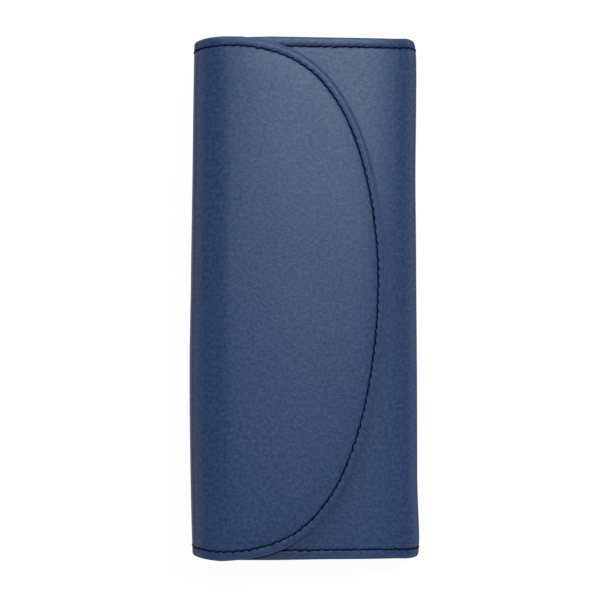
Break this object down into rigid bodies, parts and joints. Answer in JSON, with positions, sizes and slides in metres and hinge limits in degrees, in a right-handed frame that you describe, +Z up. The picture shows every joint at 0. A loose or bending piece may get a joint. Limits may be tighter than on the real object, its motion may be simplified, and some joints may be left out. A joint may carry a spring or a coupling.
{
  "type": "eyeglasses case",
  "caption": "Semi-rigid wrap case for folded eyeglasses: a D-shaped magnetic flap closes over the front panel, and folded end gussets let the mouth spread.",
  "frame": {"origin": "centre of the footprint at the lowest point of the back panel, with the closed case lying on its back panel", "axes": "+X across the case, from the spine and mouth to the folded side; +Y along the case; +Z up, out of the front panel and the flap"},
  "size_m": [0.072, 0.164, 0.0301],
  "materials": {
    "navy_leather": "satin",
    "gusset_leather": "satin",
    "lining_fabric": "matte",
    "navy_thread": "matte",
    "grey_board": "matte",
    "spine_foam": "matte",
    "magnet_nickel": "satin"
  },
  "bodies": {
    "back": {"back_leather": "navy_leather", "back_board": "grey_board", "back_lining": "lining_fabric", "back_seam_top": "navy_thread", "back_seam_bottom": "navy_thread", "back_gusset_top": "gusset_leather", "back_gusset_bottom": "gusset_leather"},
    "front": {"front_leather": "navy_leather", "front_board": "grey_board", "front_lining": "lining_fabric", "front_magnet": "magnet_nickel", "front_seam_top": "navy_thread", "front_seam_bottom": "navy_thread", "mouth_seam": "navy_thread", "front_gusset_top": "gusset_leather", "front_gusset_bottom": "gusset_leather"},
    "spine": {"spine_leather": "navy_leather", "spine_foam": "spine_foam", "spine_lining": "lining_fabric", "spine_seam_top": "navy_thread", "spine_seam_bottom": "navy_thread"},
    "flap": {"flap_leather": "navy_leather", "flap_board": "grey_board", "flap_lining": "lining_fabric", "flap_magnet": "magnet_nickel", "flap_seam": "navy_thread"}
  },
  "joints": [
    {"name": "spine_fold", "type": "hinge", "parent": "back", "child": "spine", "pos_m": [-0.032, 0, 0.00234], "axis": [0, -1, 0], "range_deg": [0, 80]},
    {"name": "flap_fold", "type": "hinge", "parent": "spine", "child": "flap", "pos_m": [-0.03104, 0, 0.02823], "axis": [0, -1, 0], "range_deg": [0, 110]},
    {"name": "mouth_spread", "type": "hinge", "parent": "back", "child": "front", "pos_m": [0.03596, 0, 0.00751], "axis": [0, 1, 0], "range_deg": [0, 5.5]}
  ],
  "couplings": [
    {"joint": "mouth_spread", "follows": "flap_fold", "ratio": 0.05}
  ]
}
